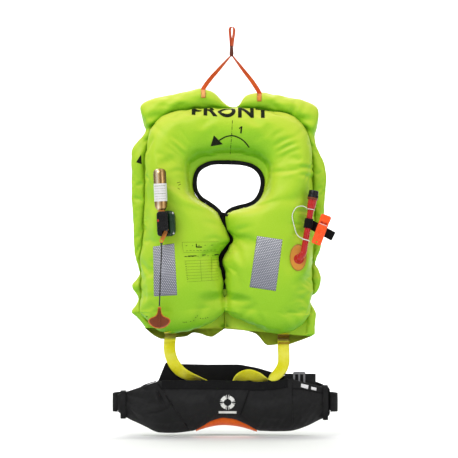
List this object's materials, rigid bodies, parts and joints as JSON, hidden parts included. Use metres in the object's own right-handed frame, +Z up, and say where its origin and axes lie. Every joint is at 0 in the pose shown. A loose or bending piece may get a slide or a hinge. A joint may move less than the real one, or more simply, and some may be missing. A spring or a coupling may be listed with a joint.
{
  "type": "inflatable life jacket",
  "caption": "Inflated belt-pack life jacket: lime two-chamber collar bladder with gas inflator and oral tube, hung by a tape loop, its open black waist pouch on yellow straps below.",
  "frame": {"origin": "top of the hanging loop at the collar, where a hook or peg holds the jacket", "axes": "+Z up, +X to the right seen from the front, the front faces -Y"},
  "size_m": [0.4626, 0.1602, 0.8335],
  "materials": {
    "bladder_fabric": "satin",
    "black_webbing": "matte",
    "pouch_fabric": "matte",
    "yellow_webbing": "matte",
    "orange_lining": "matte",
    "orange_tape": "matte",
    "reflective_tape": "satin",
    "black_plastic": "matte",
    "green_plastic": "satin",
    "brown_plastic": "satin",
    "orange_plastic": "satin",
    "red_plastic": "satin",
    "amber_plastic": "satin",
    "grey_plastic": "satin",
    "white_print": "matte",
    "white_cord": "matte",
    "black_cord": "matte",
    "cylinder_brass": "satin",
    "spring_steel": "satin",
    "black_rubber": "matte"
  },
  "bodies": {
    "jacket": {"bladder_front_chamber": "bladder_fabric", "bladder_rear_chamber": "bladder_fabric", "neck_binding": "black_webbing", "hang_loop": "orange_tape", "hang_knot": "brown_plastic", "hang_tape_left": "orange_tape", "hang_tape_right": "orange_tape", "reflective_tape_left": "reflective_tape", "reflective_tape_right": "reflective_tape", "manifold_flange": "black_plastic", "inflator_cover": "green_plastic", "inflator_body": "black_plastic", "lever_pivot_pin": "spring_steel", "firing_spring": "spring_steel", "cylinder_seal": "black_rubber", "status_indicator": "red_plastic", "oral_flange": "amber_plastic", "oral_elbow": "red_plastic", "strap_anchor_left": "yellow_webbing", "strap_anchor_right": "yellow_webbing"},
    "firing_lever": {"firing_lever": "orange_plastic"},
    "firing_pin": {"firing_pin": "spring_steel"},
    "gas_cylinder": {"gas_cylinder": "cylinder_brass", "cylinder_label": "white_print"},
    "pull_line": {"pull_cord": "black_cord"},
    "pull_handle": {"pull_handle": "brown_plastic"},
    "oral_tube": {"oral_hose": "red_plastic", "valve_housing": "red_plastic", "valve_spring": "spring_steel", "retainer_strap": "black_webbing", "whistle_lanyard": "white_cord"},
    "valve_poppet": {"valve_poppet": "white_print"},
    "dust_cap": {"dust_cap": "black_rubber"},
    "whistle": {"whistle": "orange_plastic"},
    "pouch": {"yoke_strap_left": "yellow_webbing", "yoke_strap_right": "yellow_webbing", "pouch_left_wing": "pouch_fabric", "pouch_front_panel": "pouch_fabric", "pouch_right_wing": "pouch_fabric", "pouch_rear_panel": "pouch_fabric", "pouch_hem": "black_webbing", "pouch_lining": "orange_lining", "pouch_piping_left": "black_webbing", "pouch_piping_right": "black_webbing", "emblem_patch": "white_print", "keeper_left": "black_webbing", "keeper_right": "black_webbing", "belt_left": "black_webbing", "belt_right": "black_webbing", "buckle_socket": "black_plastic", "pocket_webbing": "black_webbing"},
    "belt_plug": {"buckle_plug": "black_plastic", "plug_webbing": "black_webbing"},
    "belt_adjuster": {"belt_adjuster": "grey_plastic"}
  },
  "joints": [
    {"name": "pouch_swing", "type": "hinge", "parent": "jacket", "child": "pouch", "pos_m": [0, -0.009, -0.6566], "axis": [1, 0, 0], "range_deg": [-35, 35]},
    {"name": "lever_pull", "type": "hinge", "parent": "jacket", "child": "firing_lever", "pos_m": [-0.13203, -0.083, -0.41826], "axis": [0, -1, 0], "range_deg": [0, 28], "stiffness_Nm_per_rad": 0.05, "springref_deg": -17.19},
    {"name": "pin_stroke", "type": "slide", "parent": "jacket", "child": "firing_pin", "axis": [-0.0439, 0, 0.999], "range_m": [0, 0.003], "deforming": ["firing_spring"]},
    {"name": "line_follow", "type": "hinge", "parent": "firing_lever", "child": "pull_line", "pos_m": [-0.14269, -0.083, -0.43995], "axis": [0, -1, 0], "range_deg": [-28, 0]},
    {"name": "handle_swing", "type": "hinge", "parent": "pull_line", "child": "pull_handle", "pos_m": [-0.14689, -0.083, -0.572], "axis": [-1, 0, 0], "range_deg": [-15, 75]},
    {"name": "cylinder_unscrew", "type": "slide", "parent": "jacket", "child": "gas_cylinder", "axis": [-0.0439, 0, 0.999], "range_m": [0, 0.018]},
    {"name": "oral_tube_bend", "type": "hinge", "parent": "jacket", "child": "oral_tube", "pos_m": [0.1451, -0.071, -0.4633], "axis": [0.9855, 0, -0.1694], "range_deg": [0, 40], "stiffness_Nm_per_rad": 0.03, "springref_deg": -11.46},
    {"name": "dust_cap_pull", "type": "slide", "parent": "oral_tube", "child": "dust_cap", "axis": [0.1687, 0.0914, 0.9814], "range_m": [0, 0.02]},
    {"name": "valve_press", "type": "slide", "parent": "oral_tube", "child": "valve_poppet", "axis": [-0.1687, -0.0914, -0.9814], "range_m": [0, 0.003], "stiffness_N_per_m": 150, "springref_m": -0.002, "deforming": ["valve_spring"]},
    {"name": "whistle_pull", "type": "slide", "parent": "oral_tube", "child": "whistle", "axis": [0.3491, 0, 0.9371], "range_m": [0, 0.03]},
    {"name": "buckle_release", "type": "slide", "parent": "pouch", "child": "belt_plug", "axis": [1, 0, 0], "range_m": [0, 0.028]},
    {"name": "adjuster_slide", "type": "slide", "parent": "pouch", "child": "belt_adjuster", "axis": [1, 0, 0], "range_m": [-0.012, 0.012]}
  ],
  "couplings": [
    {"joint": "pin_stroke", "follows": "lever_pull", "m_per_rad": 0.006138},
    {"joint": "line_follow", "follows": "lever_pull", "ratio": -1}
  ]
}
